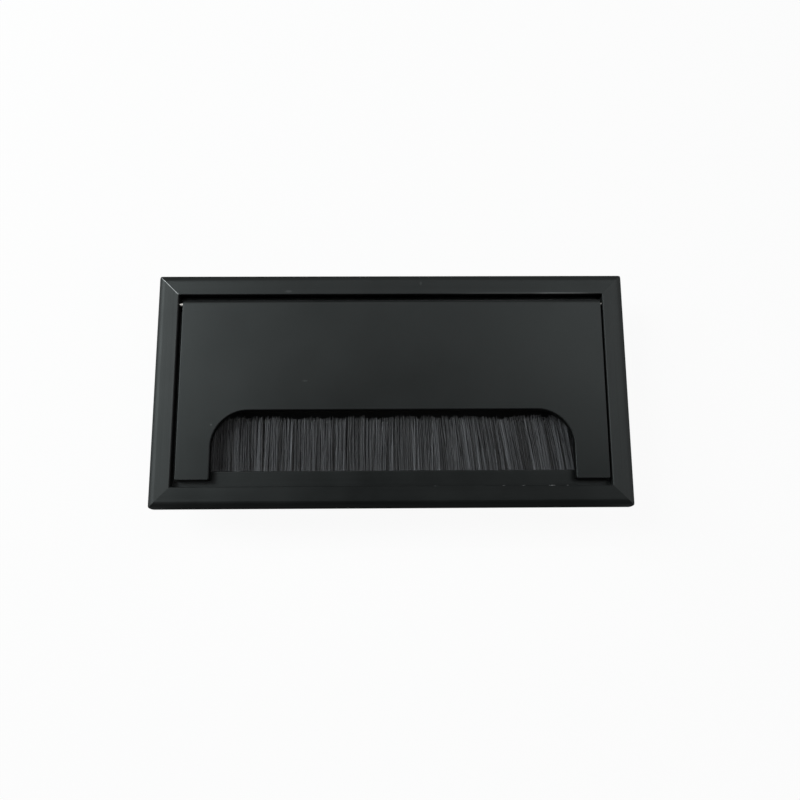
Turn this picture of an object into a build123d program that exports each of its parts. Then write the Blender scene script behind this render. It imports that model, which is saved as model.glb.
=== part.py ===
"""Desk cable grommet: mitred extruded frame, hinged flap with a cable notch, strip brush in the notch.

Millimetres. Origin in the middle of the desk cut-out, on the desk's top surface. X runs along the frame,
Y from the brush side at the front to the hinge side at the rear, Z up.
"""

import math
import os

from build123d import *

os.makedirs("parts", exist_ok=True)

# Frame in plan
overall_length = 160.0
overall_width = 80.0
plan_corner_radius = 2.0

# Extruded rail section: flange over the desk, skirt wall through it, ledge and channel inside
flange_overhang = 5.4
flange_thickness = 3.0
flange_edge_radius = 2.5
flange_inner_bevel = 0.2
wall_thickness = 1.8
skirt_depth = 17.0
skirt_lead_in = 0.6
ledge_width = 5.4
ledge_thickness = 1.2
ledge_edge_radius = 0.3
channel_height = 6.0
shelf_thickness = 1.2
lip_thickness = 1.2
lip_height = 0.9

# Flap
flap_thickness = 3.0
flap_drop = 0.5
flap_rest_gap = 0.3
flap_front_gap = 2.15
flap_side_play = 1.9
flap_side_shift = 0.4
flap_corner_radius = 0.6
flap_edge_radius = 0.35
leg_width = 11.3
notch_depth = 23.3
notch_radius = 12.3

# Hinge
hinge_setback = 3.1
pin_diameter = 1.5
pin_length = 10.0
pin_seat_depth = 2.8
pin_end_chamfer = 0.2
pin_running_clearance = 0.05
bore_end_room = 0.5

# Corner keys and their grub screws
key_arm = 8.6
key_thickness = 3.8
key_height_clearance = 0.2
key_end_chamfer = 0.5
grub_diameter = 3.0
grub_length = 3.9
grub_thread_clearance = 0.03
grub_inset = 3.0
socket_across_flats = 1.5
socket_depth = 2.0

# Strip brush
strip_end_clearance = 0.4
strip_fit_clearance = 0.1
strip_sheet = 0.5
strip_fold_radius = 0.8
strip_mouth = 2.6
wire_diameter = 1.3
wire_clearance = 0.03
bristle_fold_clearance = 0.1
bristle_mouth_clearance = 0.1
bristle_flare = 0.4
bristle_overlap = 1.0
bristle_raggedness = 0.7
tuft_pitch = 1.8
slit_root_width = 0.12
slit_tip_width = 0.4

# Heights
flange_top = flange_thickness
flap_top = flange_top - flap_drop
flap_underside = flap_top - flap_thickness
ledge_top = flap_underside - flap_rest_gap
channel_top = ledge_top - ledge_thickness
channel_bottom = channel_top - channel_height
channel_middle = (channel_top + channel_bottom) / 2
shelf_underside = channel_bottom - shelf_thickness
total_height = flange_thickness + skirt_depth

# Distances inward from the outer edge of a rail
flange_width = flange_overhang + wall_thickness
ledge_reach = flange_width + ledge_width
lip_back = ledge_reach - lip_thickness

# Opening inside the flange, and the flap and hinge in it
opening_length = overall_length - 2 * flange_width
opening_width = overall_width - 2 * flange_width
flap_length = opening_length - flap_side_play
flap_front = -opening_width / 2 + flap_front_gap
hinge_y = opening_width / 2 - hinge_setback
hinge_z = flap_top - flap_thickness / 2
notch_rear = flap_front + notch_depth
pin_radius = pin_diameter / 2
bore_depth = pin_length - pin_seat_depth + bore_end_room

up = Vector(0, 0, 1)


def section_plane(inward, reach):
    """Upright plane across a rail: local x runs inward from the rail's outer edge, local y upward."""
    return Plane(origin=inward * -reach, x_dir=inward, z_dir=inward.cross(up))


# Four rails, each a length of the same section, cut at 45 degrees at both ends
rail_sides = {
    "front": (Vector(0, 1, 0), overall_length / 2, overall_width / 2),
    "rear": (Vector(0, -1, 0), overall_length / 2, overall_width / 2),
    "left": (Vector(1, 0, 0), overall_width / 2, overall_length / 2),
    "right": (Vector(-1, 0, 0), overall_width / 2, overall_length / 2),
}
for side, (inward, half_run, reach) in rail_sides.items():
    across = section_plane(inward, reach)
    with BuildPart() as rail:
        with BuildSketch(across) as section:
            with BuildLine():
                Line((0, 0), (0, flange_top - flange_edge_radius))
                TangentArc(
                    (0, flange_top - flange_edge_radius),
                    (flange_edge_radius, flange_top),
                    tangent=(0, 1),
                )
                Polyline(
                    (flange_edge_radius, flange_top),
                    (flange_width - flange_inner_bevel, flange_top),
                    (flange_width, flange_top - flange_inner_bevel),
                    (flange_width, ledge_top),
                    (ledge_reach, ledge_top),
                    (ledge_reach, channel_top - lip_height),
                    (lip_back, channel_top - lip_height),
                    (lip_back, channel_top),
                    (flange_width, channel_top),
                    (flange_width, channel_bottom),
                    (lip_back, channel_bottom),
                    (lip_back, channel_bottom + lip_height),
                    (ledge_reach, channel_bottom + lip_height),
                    (ledge_reach, shelf_underside),
                    (flange_width, shelf_underside),
                    (flange_width, -skirt_depth),
                    (flange_overhang + skirt_lead_in, -skirt_depth),
                    (flange_overhang, -skirt_depth + skirt_lead_in),
                    (flange_overhang, 0),
                    (0, 0),
                )
            make_face()
            fillet(section.vertices().group_by(Axis.X)[-1], ledge_edge_radius)
        extrude(amount=half_run, both=True)
        for along in (across.z_dir, -across.z_dir):
            corner = along * half_run - inward * reach
            split(bisect_by=Plane(origin=corner, z_dir=along + inward), keep=Keep.BOTTOM)
        with BuildSketch(Plane.XY.offset(-skirt_depth)):
            RectangleRounded(overall_length, overall_width, plan_corner_radius)
        extrude(amount=total_height, mode=Mode.INTERSECT)
        if side in ("left", "right"):
            inner_face = Plane(
                origin=inward * (flange_width - reach) + Vector(0, hinge_y, hinge_z), z_dir=-inward
            )
            with BuildSketch(inner_face):
                Circle(pin_radius)
            extrude(amount=pin_seat_depth, mode=Mode.SUBTRACT)
    rail.part.label = f"{side}_rail"
    export_step(rail.part, f"parts/{side}_rail.step")

# Flap: flat plate with a full-round rear edge on the hinge axis and a rounded notch in its front edge
flap_left = flap_side_shift - flap_length / 2
flap_right = flap_side_shift + flap_length / 2
with BuildPart() as flap:
    with BuildSketch(Plane.XY.offset(flap_underside)):
        with BuildLine():
            Polyline(
                (flap_left, hinge_y),
                (flap_left, flap_front),
                (flap_left + leg_width, flap_front),
                (flap_left + leg_width, notch_rear),
                (flap_right - leg_width, notch_rear),
                (flap_right - leg_width, flap_front),
                (flap_right, flap_front),
                (flap_right, hinge_y),
                close=True,
            )
        plate_outline = make_face()
        fillet(plate_outline.vertices().group_by(Axis.Y)[1], notch_radius)
        fillet(vertices().group_by(Axis.Y)[0], flap_corner_radius)
    extrude(amount=flap_thickness)
    with BuildSketch(Plane(origin=(flap_left, hinge_y, hinge_z), z_dir=(1, 0, 0))):
        Circle(flap_thickness / 2)
    extrude(amount=flap_length)
    rims = flap.faces().filter_by(Axis.Z).edges() + flap.faces().filter_by(Axis.X).edges()
    rear_seams = flap.edges().filter_by(Axis.X).group_by(Axis.Y)[-1]
    uprights = flap.edges().filter_by(Axis.Z)
    fillet([edge for edge in rims if edge not in rear_seams + uprights], flap_edge_radius)
    for end_x, into in ((flap_left, 1), (flap_right, -1)):
        with BuildSketch(Plane(origin=(end_x, hinge_y, hinge_z), z_dir=(into, 0, 0))):
            Circle(pin_radius + pin_running_clearance)
        extrude(amount=bore_depth, mode=Mode.SUBTRACT)
flap.part.label = "flap"
export_step(flap.part, "parts/flap.step")

# Hinge pins, pressed into the side rails and free in the flap's bores
for side, into in (("left", 1), ("right", -1)):
    seat_x = -into * (opening_length / 2 + pin_seat_depth)
    with BuildPart() as pin:
        with BuildSketch(Plane(origin=(seat_x, hinge_y, hinge_z), z_dir=(into, 0, 0))):
            Circle(pin_radius)
        extrude(amount=pin_length)
        chamfer(pin.edges().filter_by(GeomType.CIRCLE), pin_end_chamfer)
    pin.part.label = f"hinge_pin_{side}"
    export_step(pin.part, f"parts/hinge_pin_{side}.step")

# Corner keys: angles that stand in the channels of two rails, pushed against the lips by grub screws
key_outer = lip_back - key_thickness
key_height = channel_height - key_height_clearance
grub_along = key_arm - grub_inset
grub_height = channel_bottom + key_height / 2
corners = {
    "front_left": (-1, -1),
    "front_right": (1, -1),
    "rear_right": (1, 1),
    "rear_left": (-1, 1),
}
grub_planes = []
for turn, (corner_name, (x_sign, y_sign)) in enumerate(corners.items()):
    first_arm = Vector(1, 0, 0).rotate(Axis.Z, 90 * turn)
    second_arm = first_arm.rotate(Axis.Z, 90)
    key_corner = Vector(
        x_sign * (overall_length / 2 - key_outer),
        y_sign * (overall_width / 2 - key_outer),
        channel_bottom,
    )
    with BuildPart() as key:
        with BuildSketch(Plane(origin=key_corner, x_dir=first_arm, z_dir=up)):
            Rectangle(key_arm, key_thickness, align=Align.MIN)
            Rectangle(key_thickness, key_arm, align=Align.MIN)
        extrude(amount=key_height)
        inner_corner = key_corner + (first_arm + second_arm) * key_thickness
        chamfer(key.edges().filter_by(Axis.Z).sort_by_distance(inner_corner)[1:], key_end_chamfer)
        for along, through in ((first_arm, second_arm), (second_arm, first_arm)):
            hole_centre = key_corner + along * grub_along + up * (grub_height - channel_bottom)
            with BuildSketch(Plane(origin=hole_centre, z_dir=through)):
                Circle(grub_diameter / 2 + grub_thread_clearance)
            extrude(amount=key_thickness, mode=Mode.SUBTRACT)
            wall_point = hole_centre - through * (key_outer - flange_width)
            grub_planes.append(Plane(origin=wall_point, z_dir=through))
    key.part.label = f"{corner_name}_key"
    export_step(key.part, f"parts/{corner_name}_key.step")

# Grub screws, two in each key, their points on the rails' walls and their sockets facing the opening
with BuildPart() as grub_screws:
    with BuildSketch(*grub_planes):
        Circle(grub_diameter / 2)
    extrude(amount=grub_length)
    with BuildSketch(*[plane.offset(grub_length) for plane in grub_planes]):
        RegularPolygon(socket_across_flats / 2, 6, major_radius=False)
    extrude(amount=-socket_depth, mode=Mode.SUBTRACT)
grub_screws.part.label = "corner_grub_screws"
export_step(grub_screws.part, "parts/corner_grub_screws.step")

# Strip brush: folded sheet channel between the front keys, held behind the lips of the front rail
front_plane = section_plane(Vector(0, 1, 0), overall_width / 2)
strip_depth = lip_back - flange_width - 2 * strip_fit_clearance
strip_height = channel_height - 2 * strip_fit_clearance
strip_half_length = overall_length / 2 - key_outer - key_arm - strip_end_clearance
strip_centre = (flange_width + lip_back) / 2
strip_front = strip_centre + strip_depth / 2
with BuildPart() as brush_channel:
    with BuildSketch(front_plane):
        with Locations((strip_centre, channel_middle)):
            RectangleRounded(strip_depth, strip_height, strip_fold_radius)
            RectangleRounded(
                strip_depth - 2 * strip_sheet,
                strip_height - 2 * strip_sheet,
                strip_fold_radius - strip_sheet,
                mode=Mode.SUBTRACT,
            )
        with Locations((strip_front, channel_middle)):
            Rectangle(2 * strip_sheet, strip_mouth, mode=Mode.SUBTRACT)
    extrude(amount=strip_half_length, both=True)
brush_channel.part.label = "brush_channel"
export_step(brush_channel.part, "parts/brush_channel.step")

# Core wire, in the fold of the bristles
with BuildPart() as core_wire:
    with BuildSketch(front_plane):
        with Locations((strip_centre, channel_middle)):
            Circle(wire_diameter / 2)
    extrude(amount=strip_half_length, both=True)
core_wire.part.label = "brush_core_wire"
export_step(core_wire.part, "parts/brush_core_wire.step")

# Bristles: folded round the wire, pinched in the mouth, then split into tufts with ragged tips
fold_radius = strip_depth / 2 - strip_sheet - bristle_fold_clearance
pinch = strip_mouth / 2 - bristle_mouth_clearance
tip_line = notch_rear + bristle_overlap
tip_end = tip_line + bristle_raggedness
tip_reach = tip_end + overall_width / 2
tuft_count = int(2 * strip_half_length / tuft_pitch)
golden_angle = math.pi * (3 - math.sqrt(5))
with BuildPart() as bristles:
    with BuildSketch(front_plane):
        with Locations((strip_centre, channel_middle)):
            Circle(fold_radius)
        with BuildLine():
            Polyline(
                (strip_centre, channel_middle - pinch),
                (strip_front, channel_middle - pinch),
                (tip_reach, channel_middle - pinch - bristle_flare),
                (tip_reach, channel_middle + pinch + bristle_flare),
                (strip_front, channel_middle + pinch),
                (strip_centre, channel_middle + pinch),
                close=True,
            )
        make_face()
        with Locations((strip_centre, channel_middle)):
            Circle(wire_diameter / 2 + wire_clearance, mode=Mode.SUBTRACT)
    extrude(amount=strip_half_length, both=True)
    with BuildSketch(Plane.XY.offset(channel_middle)):
        with Locations((0, ledge_reach - overall_width / 2)):
            with GridLocations(tuft_pitch, 0, tuft_count, 1):
                Polygon(
                    (-slit_root_width / 2, 0),
                    (slit_root_width / 2, 0),
                    (slit_tip_width / 2, tip_reach - ledge_reach),
                    (-slit_tip_width / 2, tip_reach - ledge_reach),
                    align=None,
                )
        with BuildLine():
            ragged_tips = [
                (
                    strip_half_length * (2 * index / tuft_count - 1),
                    tip_line + bristle_raggedness * math.sin(index * golden_angle),
                )
                for index in range(tuft_count + 1)
            ]
            Polyline(
                *ragged_tips,
                (strip_half_length, tip_end + bristle_raggedness),
                (-strip_half_length, tip_end + bristle_raggedness),
                close=True,
            )
        make_face()
    extrude(amount=channel_height, both=True, mode=Mode.SUBTRACT)
bristles.part.label = "brush_bristles"
export_step(bristles.part, "parts/brush_bristles.step")
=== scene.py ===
import math
import bpy
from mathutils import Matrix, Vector


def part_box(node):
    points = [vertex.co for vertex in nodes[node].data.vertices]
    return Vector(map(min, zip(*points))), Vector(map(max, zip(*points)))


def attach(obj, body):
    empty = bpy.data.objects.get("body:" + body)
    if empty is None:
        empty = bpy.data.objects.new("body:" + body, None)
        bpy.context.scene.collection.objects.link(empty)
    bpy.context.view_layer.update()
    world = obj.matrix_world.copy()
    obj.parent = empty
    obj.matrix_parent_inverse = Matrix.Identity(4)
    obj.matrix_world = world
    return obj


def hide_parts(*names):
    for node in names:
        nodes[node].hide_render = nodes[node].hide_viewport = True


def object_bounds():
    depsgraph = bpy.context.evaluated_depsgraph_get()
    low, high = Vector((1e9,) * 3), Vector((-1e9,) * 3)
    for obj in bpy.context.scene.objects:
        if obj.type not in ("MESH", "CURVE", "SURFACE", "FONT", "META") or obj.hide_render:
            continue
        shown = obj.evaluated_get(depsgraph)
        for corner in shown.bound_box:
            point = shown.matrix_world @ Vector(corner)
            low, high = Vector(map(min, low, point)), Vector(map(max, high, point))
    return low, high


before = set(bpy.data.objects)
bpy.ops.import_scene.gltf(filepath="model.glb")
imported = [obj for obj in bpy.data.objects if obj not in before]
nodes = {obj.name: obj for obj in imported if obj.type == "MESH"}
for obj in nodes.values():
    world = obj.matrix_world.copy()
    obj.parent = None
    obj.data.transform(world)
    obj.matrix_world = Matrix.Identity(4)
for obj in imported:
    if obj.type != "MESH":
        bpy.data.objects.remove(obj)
cadLow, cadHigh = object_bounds()
mm = 0.001

colourMix = {"data_type": "RGBA"}  # a Mix node for colours, and its sockets
colourA, colourB, colourOut = 6, 7, 2
valueA, valueB = 2, 3  # a Mix node's sockets for plain values
noiseSpan = {"From Min": 0.3, "From Max": 0.7}  # where most values of a noise lie


def linearColour(hexText):  # sRGB hex to the linear colour that a socket takes
    channels = [int(hexText[i:i + 2], 16) / 255 for i in (1, 3, 5)]
    return (*[c / 12.92 if c <= 0.04045 else ((c + 0.055) / 1.055) ** 2.4 for c in channels], 1.0)


def fillInputs(tree, node, inputs):  # an input is a value, or a socket to link from
    for key, value in inputs.items():
        if isinstance(value, bpy.types.NodeSocket):
            tree.links.new(value, node.inputs[key])
        else:
            node.inputs[key].default_value = value


def addNode(tree, kind, settings=None, inputs=None):
    node = tree.nodes.new(kind)
    for key, value in (settings or {}).items():
        setattr(node, key, value)
    fillInputs(tree, node, inputs or {})
    return node


def newMaterial(name):  # an empty tree with its Object coordinates, shader and output
    material = bpy.data.materials.new(name)
    material.use_nodes = True
    tree = material.node_tree
    tree.nodes.clear()
    place = addNode(tree, "ShaderNodeTexCoord").outputs["Object"]
    shader = addNode(tree, "ShaderNodeBsdfPrincipled")
    addNode(tree, "ShaderNodeOutputMaterial", None, {"Surface": shader.outputs[0]})
    return material, tree, place, shader


# marks in a finish: noise frays their edge, which fades between two reaches, in sizes of the mark
markEdge = {"fray": 1.7, "outerReach": 1.5, "innerReach": 0.9}


def markMask(tree, place, marks):  # soft spots at given places: 0 on sound finish, up to each mark's depth
    total = None
    for mark in marks:
        size = [1 / (s * mm) for s in mark["size"]]
        shift = [-c / s for c, s in zip(mark["at"], mark["size"])]
        local = addNode(tree, "ShaderNodeMapping", None,
                        {"Vector": place, "Location": shift, "Scale": size})
        fray = addNode(tree, "ShaderNodeTexNoise", None,
                       {"Vector": local.outputs[0], "Scale": markEdge["fray"]})
        far = addNode(tree, "ShaderNodeVectorMath", {"operation": "LENGTH"}, {0: local.outputs[0]})
        edge = addNode(tree, "ShaderNodeMath", {"operation": "ADD"},
                       {0: far.outputs["Value"], 1: fray.outputs["Fac"]})
        spot = addNode(tree, "ShaderNodeMapRange", {"interpolation_type": "SMOOTHSTEP"},
                       {"Value": edge.outputs[0], "From Min": markEdge["outerReach"],
                        "From Max": markEdge["innerReach"],
                        "To Min": 0.0, "To Max": mark["depth"]}).outputs[0]
        if total is not None:
            spot = addNode(tree, "ShaderNodeMath", {"operation": "MAXIMUM"}, {0: total, 1: spot}).outputs[0]
        total = spot
    return total


# frame rails: extruded aluminium, etched and black anodised
railFinish = {
    "x": {"dark": "#272929", "light": "#2f3131", "roughness": (0.35, 0.42), "lineHeight": 0.008},
    # the crosswise rails are the same extrusion but get lighter colours than the lengthwise ones: painted
    # light, for the brighter sheen they show under these lamps
    "y": {"dark": "#343636", "light": "#3e4040", "roughness": (0.54, 0.62), "lineHeight": 0.028},
    "edgeTint": "#b3b4b4",  # dyed oxide stays dark at slanting angles
    "metallic": 0.85,  # the rest is the oxide's own dull scatter
    "dieLineWidth": 0.24, "dieLineLength": 60.0,  # scatter light across the rail, drawn coarse to show
    "bandWidth": 1.6, "bandLength": 90.0, "bandShare": 0.7,
    "cloudSize": 14.0, "cloudShare": 0.6, "toneShift": -0.1,
    # pale colour of the knocks, the mitres' cut edge and the painted highlights
    "bareAndSheenColour": "#c3c6c6", "bareAndSheenRoughness": 0.3,
    "cornerReach": (cadHigh.x - cadHigh.y) / mm,  # |x| - |y| along every mitre
    "mitreWidth": 0.26, "mitreFaint": 0.012, "mitreBright": 0.5, "mitreFade": 2.0,
    "mitreSpan": (60.0, 100.0),  # y - x, from the faint mitres to the bright one
    "chipsAndSheen": [  # knocks along the front rail's inner edge and two smears on the rear rail, then painted highlights: a faint line along the front rail's inner edge and strips along the rear rail's inner edge, brighter to the right
        {"at": (52.8, -32.6, 2.8), "size": (1.5, 0.5, 0.5), "depth": 1.0},
        {"at": (57.8, -32.6, 2.8), "size": (0.6, 0.4, 0.5), "depth": 0.75},
        {"at": (43.3, -32.6, 2.8), "size": (0.9, 0.4, 0.5), "depth": 0.6},
        {"at": (36.8, -32.6, 2.8), "size": (0.9, 0.4, 0.5), "depth": 0.45},
        {"at": (14.4, -32.6, 2.8), "size": (1.2, 0.35, 0.5), "depth": 0.3},
        # painted highlight: a faint line along the front rail's inner edge
        {"at": (24.0, -32.6, 2.8), "size": (26.0, 0.2, 0.5), "depth": 0.07},
        {"at": (-35.2, 33.9, 3.0), "size": (1.6, 0.5, 0.6), "depth": 0.03},
        {"at": (10.2, 36.7, 3.0), "size": (0.6, 0.8, 0.6), "depth": 0.025},
        # painted highlight along the rear rail's inner edge, brighter to the right
        {"at": (57.0, 32.82, 3.0), "size": (17.0, 0.6, 0.6), "depth": 0.11},
        {"at": (40.0, 32.82, 3.0), "size": (32.0, 0.6, 0.6), "depth": 0.05},
    ],
}


def anodisedRail(name, along):  # satin charcoal, faint lines along the length, bright where it is knocked and along painted highlight lines on the inner edges
    s = {**railFinish, **railFinish[along]}
    material, tree, place, shader = newMaterial(name)
    patterns = {}
    for key, detail in (("dieLine", 1.0), ("band", 2.0)):
        step = [1 / ((s[key + "Length"] if axis == along else s[key + "Width"]) * mm) for axis in "xyz"]
        drawn = addNode(tree, "ShaderNodeMapping", None, {"Vector": place, "Scale": step})
        patterns[key] = addNode(tree, "ShaderNodeTexNoise", None,
                                {"Vector": drawn.outputs[0], "Scale": 1.0, "Detail": detail}).outputs["Fac"]
    cloud = addNode(tree, "ShaderNodeTexNoise", None,
                    {"Vector": place, "Scale": 1 / (s["cloudSize"] * mm), "Detail": 3.0})
    blend = addNode(tree, "ShaderNodeMath", {"operation": "MULTIPLY_ADD"},
                    {0: patterns["band"], 1: s["bandShare"], 2: s["toneShift"]})
    tone = addNode(tree, "ShaderNodeMath", {"operation": "MULTIPLY_ADD", "use_clamp": True},
                   {0: cloud.outputs["Fac"], 1: s["cloudShare"], 2: blend.outputs[0]})
    dyed = addNode(tree, "ShaderNodeMix", colourMix,
                   {"Factor": tone.outputs[0], colourA: linearColour(s["dark"]),
                    colourB: linearColour(s["light"])})
    # cut edge of the anodising along the mitres, bright at the rear left corner only
    folded = addNode(tree, "ShaderNodeVectorMath", {"operation": "ABSOLUTE"}, {0: place})
    across = addNode(tree, "ShaderNodeVectorMath", {"operation": "DOT_PRODUCT"},
                     {0: folded.outputs[0], 1: (math.sqrt(0.5), -math.sqrt(0.5), 0)})
    offLine = addNode(tree, "ShaderNodeMath", {"operation": "SUBTRACT"},
                      {0: across.outputs["Value"], 1: s["cornerReach"] * mm * math.sqrt(0.5)})
    gap = addNode(tree, "ShaderNodeMath", {"operation": "ABSOLUTE"}, {0: offLine.outputs[0]})
    corner = addNode(tree, "ShaderNodeVectorMath", {"operation": "DOT_PRODUCT"}, {0: place, 1: (-1, 1, 0)})
    strength = addNode(tree, "ShaderNodeMapRange", None,
                       {"Value": corner.outputs["Value"], "From Min": s["mitreSpan"][0] * mm,
                        "From Max": s["mitreSpan"][1] * mm,
                        "To Min": s["mitreFaint"], "To Max": s["mitreBright"]})
    height = addNode(tree, "ShaderNodeSeparateXYZ", None, {0: place}).outputs["Z"]
    shown = addNode(tree, "ShaderNodeMapRange", None,
                    {"Value": height, "From Min": 0.0, "From Max": s["mitreFade"] * mm,
                     "To Min": 0.0, "To Max": strength.outputs[0]})
    hairline = addNode(tree, "ShaderNodeMapRange", None,
                       {"Value": gap.outputs[0], "From Min": s["mitreWidth"] / 2 * mm, "From Max": 0.0,
                        "To Min": 0.0, "To Max": shown.outputs[0]})
    # pale where knocked and where the painted highlights lie
    chipsAndSheen = markMask(tree, place, s["chipsAndSheen"])
    bareAndSheen = addNode(tree, "ShaderNodeMath", {"operation": "MAXIMUM"}, {0: hairline.outputs[0], 1: chipsAndSheen})
    colour = addNode(tree, "ShaderNodeMix", colourMix,
                     {"Factor": bareAndSheen.outputs[0], colourA: dyed.outputs[colourOut],
                      colourB: linearColour(s["bareAndSheenColour"])})
    satin = addNode(tree, "ShaderNodeMapRange", None,
                    {"Value": cloud.outputs["Fac"], **noiseSpan,
                     "To Min": s["roughness"][0], "To Max": s["roughness"][1]})
    rough = addNode(tree, "ShaderNodeMix", None,
                    {"Factor": bareAndSheen.outputs[0], valueA: satin.outputs[0], valueB: s["bareAndSheenRoughness"]})
    relief = addNode(tree, "ShaderNodeBump", None,
                     {"Strength": 1.0, "Distance": s["lineHeight"] * mm, "Height": patterns["dieLine"]})
    fillInputs(tree, shader, {"Base Color": colour.outputs[colourOut], "Roughness": rough.outputs[0],
                              "Normal": relief.outputs[0], "Metallic": s["metallic"],
                              "Specular IOR Level": 0.0, "Specular Tint": linearColour(s["edgeTint"])})
    return material


# flap: flat extruded plate, fine etched and black anodised
flapFinish = {
    "dark": "#2b2d2d", "light": "#303232",
    "roughness": (0.34, 0.40),
    "edgeTint": "#b3b4b4", "metallic": 0.85,
    "etchGrain": 0.5, "etchHeight": 0.004, "etchStrength": 0.4,  # real etch grain is 0.05, drawn to show
    "cloudSize": 22.0,
    # pale colour of the spots and of the painted highlight on the rear edge
    "bareAndSheenColour": "#9a9c9c",
    "specksAndSheen": [  # two small spots on the top, then a painted highlight along the rounded rear edge, brighter to the right
        {"at": (-60.0, -12.2, 2.5), "size": (0.5, 0.4, 0.6), "depth": 0.1},
        {"at": (-29.1, 2.6, 2.5), "size": (1.2, 0.4, 0.6), "depth": 0.05},
        # painted highlight: the rounded rear edge catching light
        {"at": (48.0, 30.95, 1.8), "size": (75.0, 0.6, 0.8), "depth": 0.5},
        {"at": (-30.0, 30.95, 1.8), "size": (75.0, 0.6, 0.8), "depth": 0.26},
    ],
}


def anodisedPlate(name):  # smooth satin charcoal with soft clouds, small spots and a painted highlight on the rear edge
    s = flapFinish
    material, tree, place, shader = newMaterial(name)
    cloud = addNode(tree, "ShaderNodeTexNoise", None,
                    {"Vector": place, "Scale": 1 / (s["cloudSize"] * mm), "Detail": 3.0})
    grain = addNode(tree, "ShaderNodeTexNoise", None,
                    {"Vector": place, "Scale": 1 / (s["etchGrain"] * mm), "Detail": 2.0})
    dyed = addNode(tree, "ShaderNodeMix", colourMix,
                   {"Factor": cloud.outputs["Fac"], colourA: linearColour(s["dark"]),
                    colourB: linearColour(s["light"])})
    # the spots and the painted rear-edge highlight, mixed to the pale colour
    specksAndSheen = markMask(tree, place, s["specksAndSheen"])
    colour = addNode(tree, "ShaderNodeMix", colourMix,
                     {"Factor": specksAndSheen, colourA: dyed.outputs[colourOut],
                      colourB: linearColour(s["bareAndSheenColour"])})
    satin = addNode(tree, "ShaderNodeMapRange", None,
                    {"Value": cloud.outputs["Fac"], **noiseSpan,
                     "To Min": s["roughness"][0], "To Max": s["roughness"][1]})
    relief = addNode(tree, "ShaderNodeBump", None,
                     {"Strength": s["etchStrength"], "Distance": s["etchHeight"] * mm,
                      "Height": grain.outputs["Fac"]})
    fillInputs(tree, shader, {"Base Color": colour.outputs[colourOut], "Roughness": satin.outputs[0],
                              "Normal": relief.outputs[0], "Metallic": s["metallic"],
                              "Specular IOR Level": 0.0, "Specular Tint": linearColour(s["edgeTint"])})
    return material


# hinge pins and core wire: drawn bright steel
steelFinish = {"dark": "#a5a39e", "light": "#cfcdc8", "roughness": (0.18, 0.32),
               "drawLine": 0.25, "drawLength": 8.0}


def drawnSteel(name):  # bright, with fine lines along the wire that stretch its highlights
    s = steelFinish
    material, tree, place, shader = newMaterial(name)
    step = [1 / (v * mm) for v in (s["drawLength"], s["drawLine"], s["drawLine"])]
    drawn = addNode(tree, "ShaderNodeMapping", None, {"Vector": place, "Scale": step})
    lines = addNode(tree, "ShaderNodeTexNoise", None,
                    {"Vector": drawn.outputs[0], "Scale": 1.0, "Detail": 2.0})
    colour = addNode(tree, "ShaderNodeMix", colourMix,
                     {"Factor": lines.outputs["Fac"], colourA: linearColour(s["dark"]),
                      colourB: linearColour(s["light"])})
    shine = addNode(tree, "ShaderNodeMapRange", None,
                    {"Value": lines.outputs["Fac"], **noiseSpan,
                     "To Min": s["roughness"][0], "To Max": s["roughness"][1]})
    fillInputs(tree, shader, {"Base Color": colour.outputs[colourOut], "Roughness": shine.outputs[0],
                              "Metallic": 1.0})
    return material


# corner keys: sawn from extruded bar, left mill finished
keyFinish = {"dark": "#8f9294", "light": "#b9bcbe", "roughness": (0.34, 0.5),
             "sawPitch": 0.6, "sawHeight": 0.02, "sawStrength": 0.5, "sawWander": 1.2,
             "waveLength": 0.3}  # about one band of a Wave texture at scale 1


def millAluminium(name):  # pale grey with the saw's fine parallel marks
    s = keyFinish
    material, tree, place, shader = newMaterial(name)
    marks = addNode(tree, "ShaderNodeTexWave", {"wave_type": "BANDS", "bands_direction": "DIAGONAL"},
                    {"Vector": place, "Scale": s["waveLength"] / (s["sawPitch"] * mm),
                     "Distortion": s["sawWander"], "Detail": 2.0})
    colour = addNode(tree, "ShaderNodeMix", colourMix,
                     {"Factor": marks.outputs["Fac"], colourA: linearColour(s["dark"]),
                      colourB: linearColour(s["light"])})
    rough = addNode(tree, "ShaderNodeMapRange", None,
                    {"Value": marks.outputs["Fac"],
                     "To Min": s["roughness"][0], "To Max": s["roughness"][1]})
    relief = addNode(tree, "ShaderNodeBump", None,
                     {"Strength": s["sawStrength"], "Distance": s["sawHeight"] * mm,
                      "Height": marks.outputs["Fac"]})
    fillInputs(tree, shader, {"Base Color": colour.outputs[colourOut], "Roughness": rough.outputs[0],
                              "Normal": relief.outputs[0], "Metallic": 1.0})
    return material


# grub screws: turned steel, chemically blackened
grubFinish = {"dark": "#1d1d20", "light": "#34343a", "roughness": 0.38, "patchSize": 0.9}


def blackOxide(name):  # oily blue-black with worn grey patches
    s = grubFinish
    material, tree, place, shader = newMaterial(name)
    patch = addNode(tree, "ShaderNodeTexNoise", None,
                    {"Vector": place, "Scale": 1 / (s["patchSize"] * mm), "Detail": 3.0})
    colour = addNode(tree, "ShaderNodeMix", colourMix,
                     {"Factor": patch.outputs["Fac"], colourA: linearColour(s["dark"]),
                      colourB: linearColour(s["light"])})
    fillInputs(tree, shader, {"Base Color": colour.outputs[colourOut], "Roughness": s["roughness"],
                              "Metallic": 1.0})
    return material


# brush channel: hot dip galvanised strip, folded
stripFinish = {"dark": "#7e8388", "light": "#b4b8bb", "roughness": (0.3, 0.52), "spangle": 3.0}


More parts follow.
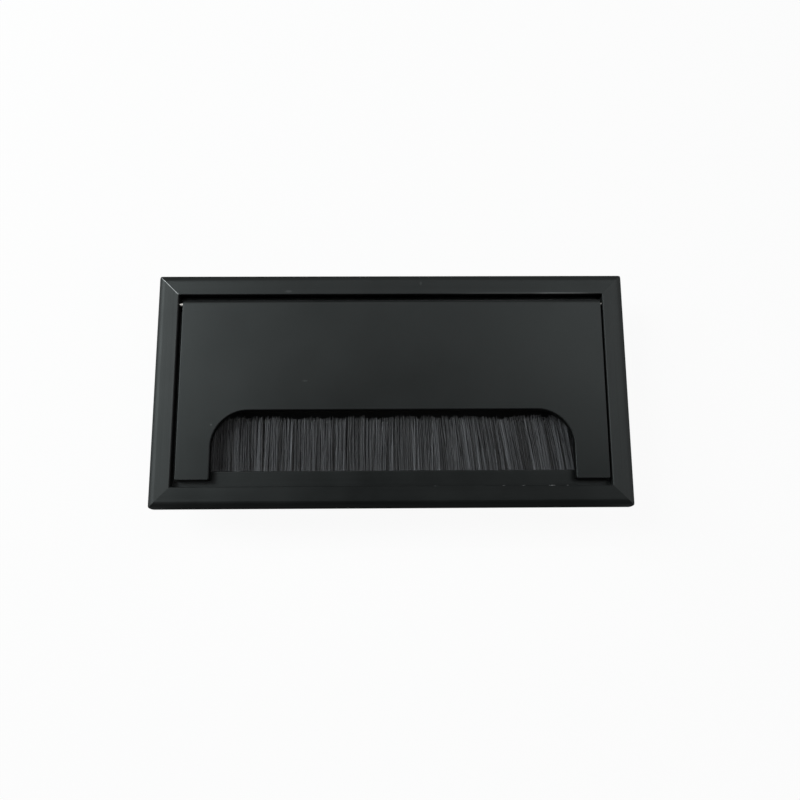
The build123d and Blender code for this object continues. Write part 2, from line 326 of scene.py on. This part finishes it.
def galvanisedSteel(name):  # zinc crystals in flat patches of differing grey
    s = stripFinish
    material, tree, place, shader = newMaterial(name)
    crystal = addNode(tree, "ShaderNodeTexVoronoi", None,
                      {"Vector": place, "Scale": 1 / (s["spangle"] * mm)})
    shade = addNode(tree, "ShaderNodeSeparateColor", None, {0: crystal.outputs["Color"]})
    colour = addNode(tree, "ShaderNodeMix", colourMix,
                     {"Factor": shade.outputs[0], colourA: linearColour(s["dark"]),
                      colourB: linearColour(s["light"])})
    rough = addNode(tree, "ShaderNodeMapRange", None,
                    {"Value": shade.outputs[1], "To Min": s["roughness"][0], "To Max": s["roughness"][1]})
    fillInputs(tree, shader, {"Base Color": colour.outputs[colourOut], "Roughness": rough.outputs[0],
                              "Metallic": 1.0})
    return material


# bristles: extruded black nylon monofilament
nylonFinish = {"dark": "#151516", "light": "#7f8084", "tip": "#747576",
               "tipFrom": 0.9, "tipShare": 0.3,  # shares of the run and of the tip's colour
               "roughness": (0.2, 0.40), "ior": 1.53}


def nylonFilament(name):  # glossy black threads of uneven shade, greyer at the cut tips
    s = nylonFinish
    material, tree, place, shader = newMaterial(name)
    tone = addNode(tree, "ShaderNodeAttribute", {"attribute_name": "filamentTone"})
    run = addNode(tree, "ShaderNodeAttribute", {"attribute_name": "filamentRun"})
    body = addNode(tree, "ShaderNodeMix", colourMix,
                   {"Factor": tone.outputs["Fac"], colourA: linearColour(s["dark"]),
                    colourB: linearColour(s["light"])})
    cut = addNode(tree, "ShaderNodeMapRange", None,
                  {"Value": run.outputs["Fac"], "From Min": s["tipFrom"], "From Max": 1.0,
                   "To Min": 0.0, "To Max": s["tipShare"]})
    colour = addNode(tree, "ShaderNodeMix", colourMix,
                     {"Factor": cut.outputs[0], colourA: body.outputs[colourOut],
                      colourB: linearColour(s["tip"])})
    shine = addNode(tree, "ShaderNodeMapRange", None,
                    {"Value": tone.outputs["Fac"],
                     "To Min": s["roughness"][1], "To Max": s["roughness"][0]})
    fillInputs(tree, shader, {"Base Color": colour.outputs[colourOut], "Roughness": shine.outputs[0],
                              "IOR": s["ior"]})
    return material


railAlongX = anodisedRail("blackAnodisedExtrusionLengthwise", "x")
# the crosswise copy carries painted light: lighter colours than the lengthwise copy
railAlongY = anodisedRail("blackAnodisedExtrusionCrosswisePaintedLighter", "y")
steel = drawnSteel("drawnBrightSteel")
keyMetal = millAluminium("sawnMillAluminium")
finishOf = {
    "front_rail": railAlongX, "rear_rail": railAlongX,
    "left_rail": railAlongY, "right_rail": railAlongY,
    "flap": anodisedPlate("blackAnodisedPlate"),
    "hinge_pin_left": steel, "hinge_pin_right": steel, "brush_core_wire": steel,
    "corner_grub_screws": blackOxide("blackOxideSteel"),
    "brush_channel": galvanisedSteel("galvanisedStrip"),
    **{node: keyMetal for node in nodes if node.endswith("_key")},
}
for node, material in finishOf.items():
    nodes[node].data.materials.clear()
    nodes[node].data.materials.append(material)
print(f"finishes: {len(set(finishOf.values()))} materials on {len(finishOf)} CAD nodes")

# brush bristles: hairpins of nylon, each folded once round the core wire and cut off at the tips
wireLow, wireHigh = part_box("brush_core_wire")
packLow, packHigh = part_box("brush_bristles")
wireCentre = (wireLow + wireHigh) / 2
endPlay = 0.3 * mm  # how much shorter the row is than the CAD pack
wireGap = 0.13 * mm  # from the wire to the middle of the innermost filament
tipCut = 3.9 * mm  # how far the middle of the ragged tips lies inside the CAD pack
hairpinPoints = 12
bristleSetting = {
    "Hairpins": 2200,
    "Points": hairpinPoints,
    "Strip Length": packHigh.x - packLow.x - endPlay,
    "Wire Centre": wireCentre,
    "Fold Share": 3 / (hairpinPoints - 1),  # the part of a leg that lies in the fold
    "Fold Radius Low": (wireHigh.z - wireLow.z) / 2 + wireGap,
    "Fold Radius High": 1.36 * mm,
    "Inner Layer": 0.06,
    "Reach": packHigh.y - tipCut - wireCentre.y,
    "Run Power": 1.5,  # points lie closer together near the fold
    "Pinch Run": 0.125,  # the part of the run that the channel pinches
    "Mouth Half": 1.08 * mm,
    "Tip Half": 1.45 * mm,
    "Ragged": 1.0 * mm,
    "Tuft Pitch": 1.5 * mm,
    "Wander Scale": 0.45, "Wander Reach": 2.2,  # uneven widths of the tufts
    "Tuft Ragged": 0.6 * mm,
    "Tuft Hold Low": 0.2, "Tuft Hold High": 0.85,  # how far the tips draw together
    "Stray": 1.2 * mm, "Stray Power": 3.0,  # few filaments stray far
    "Lean": 3.1 * mm, "Lean From": -5 * mm, "Lean To": 45 * mm,  # the right half leans back to the left
    "Bend Power": 1.2,
    "Streak Scale": 1.3, "Streak Gain": 2.2, "Streak Shift": -0.75, "Tone Scatter": 0.2,
    "Diameter": 0.2 * mm,
    "Sides": 3,
    "Seed": 7,
}


def bristleTree(material):  # a line for each hairpin, bent round the wire and made a tube
    tree = bpy.data.node_groups.new("stripBrushBristles", "GeometryNodeTree")
    for label, value in bristleSetting.items():
        kind = {int: "NodeSocketInt", float: "NodeSocketFloat"}.get(type(value), "NodeSocketVector")
        tree.interface.new_socket(label, in_out="INPUT", socket_type=kind)
    tree.interface.new_socket("Bristles", in_out="OUTPUT", socket_type="NodeSocketGeometry")
    field = {socket.name: socket for socket in addNode(tree, "NodeGroupInput").outputs if socket.name}
    field["index"] = addNode(tree, "GeometryNodeInputIndex").outputs[0]
    field["factor"] = addNode(tree, "GeometryNodeSplineParameter").outputs["Factor"]
    field["hairpin"] = addNode(tree, "GeometryNodeCurveOfPoint").outputs["Curve Index"]
    field["root"] = addNode(tree, "GeometryNodeInputNamedAttribute", {"data_type": "FLOAT"},
                            {"Name": "rootX"}).outputs[0]

    # each line: name, kind of node, its mode, its inputs (a word is an earlier name)
    modes = {"ShaderNodeMath": "operation", "ShaderNodeMapRange": "interpolation_type",
             "ShaderNodeTexNoise": "noise_dimensions", "FunctionNodeRandomValue": "data_type"}
    mathNode, rangeNode, noiseNode, randomNode = modes
    lowest, highest, drawn = 2, 3, 1  # a Random Value node's sockets for plain values
    recipe = [
        *[(f"seed{i}", mathNode, "ADD", ["Seed", i]) for i in range(1, 7)],
        # roots evenly shared out along the strip, with a little scatter
        ("scatter", randomNode, "FLOAT", {lowest: 0.0, highest: 1.0, "ID": "index", "Seed": "seed1"}),
        ("scattered", mathNode, "ADD", ["index", "scatter"]),
        ("share", mathNode, "DIVIDE", ["scattered", "Hairpins"]),
        ("centred", mathNode, "SUBTRACT", ["share", 0.5]),
        ("rootX", mathNode, "MULTIPLY", ["centred", "Strip Length"]),
        # along a hairpin: -1 at the lower tip, 0 behind the wire, 1 at the upper tip
        ("along", mathNode, "MULTIPLY_ADD", ["factor", 2.0, -1.0]),
        ("side", mathNode, "SIGN", ["along"]),
        ("leg", mathNode, "ABSOLUTE", ["along"]),
        ("turn", rangeNode, "LINEAR", {"Value": "leg", "From Max": "Fold Share", "To Max": math.pi / 2}),
        ("reached", rangeNode, "LINEAR", {"Value": "leg", "From Min": "Fold Share"}),
        ("run", mathNode, "POWER", ["reached", "Run Power"]),
        ("pinch", rangeNode, "LINEAR", {"Value": "run", "From Max": "Pinch Run"}),
        ("upper", mathNode, "GREATER_THAN", ["side", 0.0]),
        ("filament", mathNode, "MULTIPLY_ADD", ["hairpin", 2.0, "upper"]),
        # layer of the hairpin in the pack: inner ones lie close round the wire
        ("layer", randomNode, "FLOAT",
         {lowest: "Inner Layer", highest: 1.0, "ID": "hairpin", "Seed": "seed2"}),
        ("foldRoom", mathNode, "SUBTRACT", ["Fold Radius High", "Fold Radius Low"]),
        ("foldRadius", mathNode, "MULTIPLY_ADD", ["layer", "foldRoom", "Fold Radius Low"]),
        # tufts of uneven width draw together at their tips and are cut to uneven lengths
        ("pitches", mathNode, "DIVIDE", ["root", "Tuft Pitch"]),
        ("wander", noiseNode, "1D", {"W": "pitches", "Scale": "Wander Scale", "Detail": 0.0}),
        ("wandered", mathNode, "MULTIPLY_ADD", ["wander", "Wander Reach", "pitches"]),
        ("tuft", mathNode, "FLOOR", ["wandered"]),
        ("inTuft", mathNode, "FRACT", ["wandered"]),
        ("offCentre", mathNode, "SUBTRACT", [0.5, "inTuft"]),
        ("hold", randomNode, "FLOAT",
         {lowest: "Tuft Hold Low", highest: "Tuft Hold High", "ID": "tuft", "Seed": "seed3"}),
        ("held", mathNode, "MULTIPLY", ["hold", "Tuft Pitch"]),
        ("tuftCut", randomNode, "FLOAT", {lowest: -1.0, highest: 1.0, "ID": "tuft", "Seed": "seed4"}),
        ("tuftLength", mathNode, "MULTIPLY_ADD", ["tuftCut", "Tuft Ragged", "Reach"]),
        ("cut", randomNode, "FLOAT", {lowest: -1.0, highest: 1.0, "ID": "filament", "Seed": "seed5"}),
        ("length", mathNode, "MULTIPLY_ADD", ["cut", "Ragged", "tuftLength"]),
        # single filaments stray, and the right half leans
        ("sway", randomNode, "FLOAT", {lowest: -1.0, highest: 1.0, "ID": "filament", "Seed": "seed6"}),
        ("swayed", mathNode, "POWER", ["sway", "Stray Power"]),
        ("stray", mathNode, "MULTIPLY", ["swayed", "Stray"]),
        ("lean", rangeNode, "SMOOTHSTEP",
         {"Value": "root", "From Min": "Lean From", "From Max": "Lean To", "To Max": "Lean"}),
        ("gathered", mathNode, "MULTIPLY_ADD", ["offCentre", "held", "stray"]),
        ("tipShift", mathNode, "SUBTRACT", ["gathered", "lean"]),
        # where each point of the hairpin lies, from the wire's centre
        ("bend", mathNode, "POWER", ["run", "Bend Power"]),
        ("x", mathNode, "MULTIPLY_ADD", ["tipShift", "bend", "root"]),
        ("cosine", mathNode, "COSINE", ["turn"]),
        ("behind", mathNode, "MULTIPLY", ["foldRadius", "cosine"]),
        ("ahead", mathNode, "MULTIPLY", ["run", "length"]),
        ("y", mathNode, "SUBTRACT", ["ahead", "behind"]),
        ("sine", mathNode, "SINE", ["turn"]),
        ("curl", mathNode, "MULTIPLY", ["foldRadius", "sine"]),
        ("unpinched", mathNode, "SUBTRACT", [1.0, "pinch"]),
        ("curled", mathNode, "MULTIPLY", ["curl", "unpinched"]),
        ("widening", mathNode, "SUBTRACT", ["Tip Half", "Mouth Half"]),
        ("flare", mathNode, "MULTIPLY_ADD", ["run", "widening", "Mouth Half"]),
        ("height", mathNode, "MULTIPLY", ["flare", "layer"]),
        ("rise", mathNode, "MULTIPLY_ADD", ["height", "pinch", "curled"]),
        ("z", mathNode, "MULTIPLY", ["rise", "side"]),
        # shade: streaks a few filaments wide
        ("streak", noiseNode, "1D", {"W": "wandered", "Scale": "Streak Scale", "Detail": 2.0}),
        ("streaked", mathNode, "MULTIPLY_ADD", ["streak", "Streak Gain", "Streak Shift"]),
        ("tone", mathNode, "MULTIPLY_ADD", ["cut", "Tone Scatter", "streaked"]),
        ("radius", mathNode, "MULTIPLY", ["Diameter", 0.5]),
    ]
    for name, kind, mode, given in recipe:
        given = given if isinstance(given, dict) else dict(enumerate(given))
        inputs = {key: field[value] if isinstance(value, str) else value for key, value in given.items()}
        node = addNode(tree, kind, {modes[kind]: mode}, inputs)
        field[name] = node.outputs[drawn if kind == randomNode else 0]

    points = addNode(tree, "GeometryNodePoints", None, {"Count": field["Hairpins"]})
    rooted = addNode(tree, "GeometryNodeStoreNamedAttribute", {"data_type": "FLOAT", "domain": "POINT"},
                     {"Geometry": points.outputs[0], "Name": "rootX", "Value": field["rootX"]})
    blank = addNode(tree, "GeometryNodeCurvePrimitiveLine")
    divided = addNode(tree, "GeometryNodeResampleCurve", None,
                      {"Curve": blank.outputs[0], "Count": field["Points"]})
    copies = addNode(tree, "GeometryNodeInstanceOnPoints", None,
                     {"Points": rooted.outputs[0], "Instance": divided.outputs[0]})
    loose = addNode(tree, "GeometryNodeRealizeInstances", None, {0: copies.outputs[0]})
    offset = addNode(tree, "ShaderNodeCombineXYZ", None, {0: field["x"], 1: field["y"], 2: field["z"]})
    place = addNode(tree, "ShaderNodeVectorMath", {"operation": "ADD"},
                    {0: offset.outputs[0], 1: field["Wire Centre"]})
    bent = addNode(tree, "GeometryNodeSetPosition", None,
                   {"Geometry": loose.outputs[0], "Position": place.outputs[0]}).outputs[0]
    for name, value in (("filamentTone", "tone"), ("filamentRun", "run")):
        bent = addNode(tree, "GeometryNodeStoreNamedAttribute", {"data_type": "FLOAT", "domain": "POINT"},
                       {"Geometry": bent, "Name": name, "Value": field[value]}).outputs[0]
    section = addNode(tree, "GeometryNodeCurvePrimitiveCircle", {"mode": "RADIUS"},
                      {"Resolution": field["Sides"], "Radius": field["radius"]})
    tubes = addNode(tree, "GeometryNodeCurveToMesh", None,
                    {"Curve": bent, "Profile Curve": section.outputs[0], "Fill Caps": True})
    smooth = addNode(tree, "GeometryNodeSetShadeSmooth", None, {0: tubes.outputs[0]})
    whole = addNode(tree, "GeometryNodeRealizeInstances", None, {0: smooth.outputs[0]})
    dressed = addNode(tree, "GeometryNodeSetMaterial", None, {0: whole.outputs[0], "Material": material})
    addNode(tree, "NodeGroupOutput", None, {0: dressed.outputs[0]})
    return tree


def plainMesh(name, tree, setting):  # runs the tree once and keeps its mesh alone
    maker = bpy.data.objects.new(name + "Maker", bpy.data.meshes.new(name + "Blank"))
    bpy.context.scene.collection.objects.link(maker)
    modifier = maker.modifiers.new("bristles", "NODES")
    modifier.node_group = tree
    for item in tree.interface.items_tree:
        if item.in_out == "INPUT":
            modifier[item.identifier] = setting[item.name]
    bpy.context.view_layer.update()
    graph = bpy.context.evaluated_depsgraph_get()
    mesh = bpy.data.meshes.new_from_object(maker.evaluated_get(graph))
    maker.modifiers.clear()
    bpy.data.objects.remove(maker)
    mesh.name = name
    piece = bpy.data.objects.new(name, mesh)
    bpy.context.scene.collection.objects.link(piece)
    return piece


bristles = plainMesh("nylonBristles", bristleTree(nylonFilament("blackNylonFilament")), bristleSetting)
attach(bristles, "frame")
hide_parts("brush_bristles")
print(f"bristles: {len(bristles.data.polygons)} faces, {bristleSetting['Hairpins']} hairpins")


# stage: white paper floor, grey cards in front, soft lamps at the left, behind and at the right
def seenRay(tree):  # 1 for rays that show the backdrop itself: straight, mirrored or through glass
    light = addNode(tree, "ShaderNodeLightPath").outputs
    mirrored = addNode(tree, "ShaderNodeMath", {"operation": "MAXIMUM"},
                       {0: light["Is Camera Ray"], 1: light["Is Glossy Ray"]})
    return addNode(tree, "ShaderNodeMath", {"operation": "MAXIMUM"},
                   {0: mirrored.outputs[0], 1: light["Is Transmission Ray"]}).outputs[0]


def flatSheet(name, corners):  # a single quad, for the stage only
    mesh = bpy.data.meshes.new(name)
    mesh.from_pydata(corners, [], [(0, 1, 2, 3)])
    sheet = bpy.data.objects.new(name, mesh)
    bpy.context.scene.collection.objects.link(sheet)
    return sheet


floorSetting = {
    "size": 6.0, "drop": 0.05,  # metres, and millimetres below the skirt
    "colour": "#f4f4f4", "roughness": 0.9, "glow": 0.94,
    "holeHalf": (74.0, 34.0), "wellPaintedShade": "#585858",  # inside the skirt: no glow, and the paper is painted dark grey there, a painted shade under the frame
    "holeLight": 0.8,  # room light from under the desk, which fades to none below the brush
    "brushMiddle": -12.0, "brushShade": (22.0, 6.0),
}


def paperFloor():
    s = floorSetting
    half = s["size"] / 2
    level = cadLow.z - s["drop"] * mm
    floor = flatSheet("paperFloor", [(-half, -half, level), (half, -half, level),
                                     (half, half, level), (-half, half, level)])
    material, tree, place, shader = newMaterial("whitePaper")
    folded = addNode(tree, "ShaderNodeVectorMath", {"operation": "ABSOLUTE"}, {0: place})
    axis = addNode(tree, "ShaderNodeSeparateXYZ", None, {0: folded.outputs[0]}).outputs
    pastX, pastY = (addNode(tree, "ShaderNodeMath", {"operation": "GREATER_THAN"},
                            {0: axis[i], 1: s["holeHalf"][i] * mm}).outputs[0] for i in (0, 1))
    outside = addNode(tree, "ShaderNodeMath", {"operation": "MAXIMUM"}, {0: pastX, 1: pastY})
    # painted shade: the paper inside the skirt is darker than outside
    colour = addNode(tree, "ShaderNodeMix", colourMix,
                     {"Factor": outside.outputs[0], colourA: linearColour(s["wellPaintedShade"]),
                      colourB: linearColour(s["colour"])})
    fillInputs(tree, shader, {"Base Color": colour.outputs[colourOut], "Roughness": s["roughness"]})
    # glows white to the rays that see it, and is plain paper to the others
    lit = addNode(tree, "ShaderNodeMath", {"operation": "MULTIPLY"}, {0: outside.outputs[0], 1: s["glow"]})
    share = addNode(tree, "ShaderNodeMath", {"operation": "MULTIPLY"},
                    {0: seenRay(tree), 1: lit.outputs[0]})
    glow = addNode(tree, "ShaderNodeEmission", None, {"Strength": 1.0})
    paper = addNode(tree, "ShaderNodeMixShader", None,
                    {0: share.outputs[0], 1: shader.outputs[0], 2: glow.outputs[0]})
    # light inside the skirt, which the camera doesn't see
    straight = addNode(tree, "ShaderNodeLightPath").outputs["Is Camera Ray"]
    alongY = addNode(tree, "ShaderNodeSeparateXYZ", None, {0: place}).outputs["Y"]
    fromBrush = addNode(tree, "ShaderNodeMath", {"operation": "SUBTRACT"},
                        {0: alongY, 1: s["brushMiddle"] * mm})
    distance = addNode(tree, "ShaderNodeMath", {"operation": "ABSOLUTE"}, {0: fromBrush.outputs[0]})
    brush = addNode(tree, "ShaderNodeMapRange", {"interpolation_type": "SMOOTHSTEP"},
                    {"Value": distance.outputs[0], "From Min": s["brushShade"][0] * mm,
                     "From Max": s["brushShade"][1] * mm})
    unlit = addNode(tree, "ShaderNodeMath", {"operation": "MAXIMUM"}, {0: brush.outputs[0], 1: straight})
    hidden = addNode(tree, "ShaderNodeMath", {"operation": "MAXIMUM"},
                     {0: outside.outputs[0], 1: unlit.outputs[0]})
    under = addNode(tree, "ShaderNodeEmission", None, {"Strength": s["holeLight"]})
    upside = addNode(tree, "ShaderNodeMixShader", None,
                     {0: hidden.outputs[0], 1: under.outputs[0], 2: paper.outputs[0]})
    # clear from below, to show the underside
    below = addNode(tree, "ShaderNodeNewGeometry").outputs["Backfacing"]
    clear = addNode(tree, "ShaderNodeBsdfTransparent")
    sided = addNode(tree, "ShaderNodeMixShader", None, {0: below, 1: upside.outputs[0], 2: clear.outputs[0]})
    tree.links.new(sided.outputs[0], tree.nodes["Material Output"].inputs["Surface"])
    floor.data.materials.append(material)


cardSetting = {
    "corners": {  # overhead in front, and a low one that darkens the front edge
        "dimCard": [(-0.32, -0.50, 0.0), (0.65, -0.50, 0.0), (0.14, 0.10, 0.46), (-0.07, 0.10, 0.46)],
        "edgeCard": [(-0.08, -0.053, -0.0168), (0.08, -0.053, -0.0168),
                     (0.09, -0.09, 0.03), (-0.09, -0.09, 0.03)],
    },
    "glow": (0.04, 0.30), "fade": (0.05, 0.25),  # dark in the middle, paler to the sides
    "footGlow": 0.25, "rise": (0.22, 0.04),  # and paler towards the floor
}


def greyCards():
    s = cardSetting
    material, tree, place, shader = newMaterial("greyCard")
    folded = addNode(tree, "ShaderNodeVectorMath", {"operation": "ABSOLUTE"}, {0: place})
    axis = addNode(tree, "ShaderNodeSeparateXYZ", None, {0: folded.outputs[0]}).outputs
    fade = addNode(tree, "ShaderNodeMapRange", None,
                   {"Value": axis["X"], "From Min": s["fade"][0], "From Max": s["fade"][1],
                    "To Min": s["glow"][0], "To Max": s["glow"][1]})
    foot = addNode(tree, "ShaderNodeMapRange", None,
                   {"Value": axis["Z"], "From Min": s["rise"][0], "From Max": s["rise"][1],
                    "To Min": 0.0, "To Max": s["footGlow"]})
    paler = addNode(tree, "ShaderNodeMath", {"operation": "MAXIMUM"},
                    {0: fade.outputs[0], 1: foot.outputs[0]})
    fillInputs(tree, shader, {"Base Color": (0, 0, 0, 1), "Specular IOR Level": 0.0,
                              "Emission Color": (1, 1, 1, 1), "Emission Strength": paler.outputs[0]})
    for name, corners in s["corners"].items():
        card = flatSheet(name, corners)
        card.data.materials.append(material)
        card.visible_camera = False
        card.visible_shadow = False


worldSetting = {"light": 0.02, "mirrored": 0.8}


def studioWorld():  # white to the camera, bright in reflections, otherwise almost dark
    world = bpy.data.worlds.new("studio")
    bpy.context.scene.world = world
    world.use_nodes = True
    tree = world.node_tree
    tree.nodes.clear()
    level = addNode(tree, "ShaderNodeMapRange", None,
                    {"Value": seenRay(tree), "To Min": worldSetting["light"],
                     "To Max": worldSetting["mirrored"]})
    straight = addNode(tree, "ShaderNodeLightPath").outputs["Is Camera Ray"]
    white = addNode(tree, "ShaderNodeMath", {"operation": "MAXIMUM"}, {0: level.outputs[0], 1: straight})
    sky = addNode(tree, "ShaderNodeBackground", None,
                  {"Color": (1, 1, 1, 1), "Strength": white.outputs[0]})
    addNode(tree, "ShaderNodeOutputWorld", None, {"Surface": sky.outputs[0]})


lampSetting = {
    "keySoftbox": {"at": (-0.53, 0.26, 0.65), "size": (0.32, 0.34),
                   "radiance": 10.2, "colour": "#f8ffff"},
    "leftSoftbox": {"at": (-0.74, 0.24, 0.40), "size": (0.3, 0.2),
                    "radiance": 12.0, "colour": "#f8ffff"},
    "rearSoftbox": {"at": (0.0, 0.50, 0.85), "size": (1.0, 0.4),
                    "radiance": 0.6, "colour": "#ffffff"},
    "rightSoftbox": {"at": (0.40, 0.27, 0.85), "size": (0.3, 0.4),
                     "radiance": 2.3, "colour": "#fbffff"},
}


def softLamps():  # each faces the origin
    for name, lamp in lampSetting.items():
        light = bpy.data.lights.new(name, "AREA")
        light.shape = "RECTANGLE"
        light.size, light.size_y = lamp["size"]
        light.energy = lamp["radiance"] * math.pi * light.size * light.size_y
        light.color = linearColour(lamp["colour"])[:3]
        holder = bpy.data.objects.new(name, light)
        holder.location = lamp["at"]
        holder.rotation_euler = (-Vector(lamp["at"])).to_track_quat("-Z", "Y").to_euler()
        bpy.context.scene.collection.objects.link(holder)


paperFloor()
greyCards()
studioWorld()
softLamps()
print(f"stage: floor, {len(cardSetting['corners'])} cards and {len(lampSetting)} lamps")

# camera, fitted to the frame's outline in the 800 x 800 photograph
cameraSetting = {"at": (-0.16 * mm, -50.35 * mm, 249.42 * mm), "turn": (10.607, -0.677, -0.229),
                 "lens": 33.73, "sensor": 36.0, "clipStart": 0.01}
lens = bpy.data.cameras.new("photoCamera")
lens.sensor_width = cameraSetting["sensor"]
lens.lens = cameraSetting["lens"]
lens.clip_start = cameraSetting["clipStart"]
camera = bpy.data.objects.new("photoCamera", lens)
camera.rotation_mode = "ZYX"
camera.location = cameraSetting["at"]
camera.rotation_euler = [math.radians(angle) for angle in cameraSetting["turn"]]
bpy.context.scene.collection.objects.link(camera)
bpy.context.scene.camera = camera
bpy.context.scene.view_settings.view_transform = "Standard"
print("camera: lens", cameraSetting["lens"])
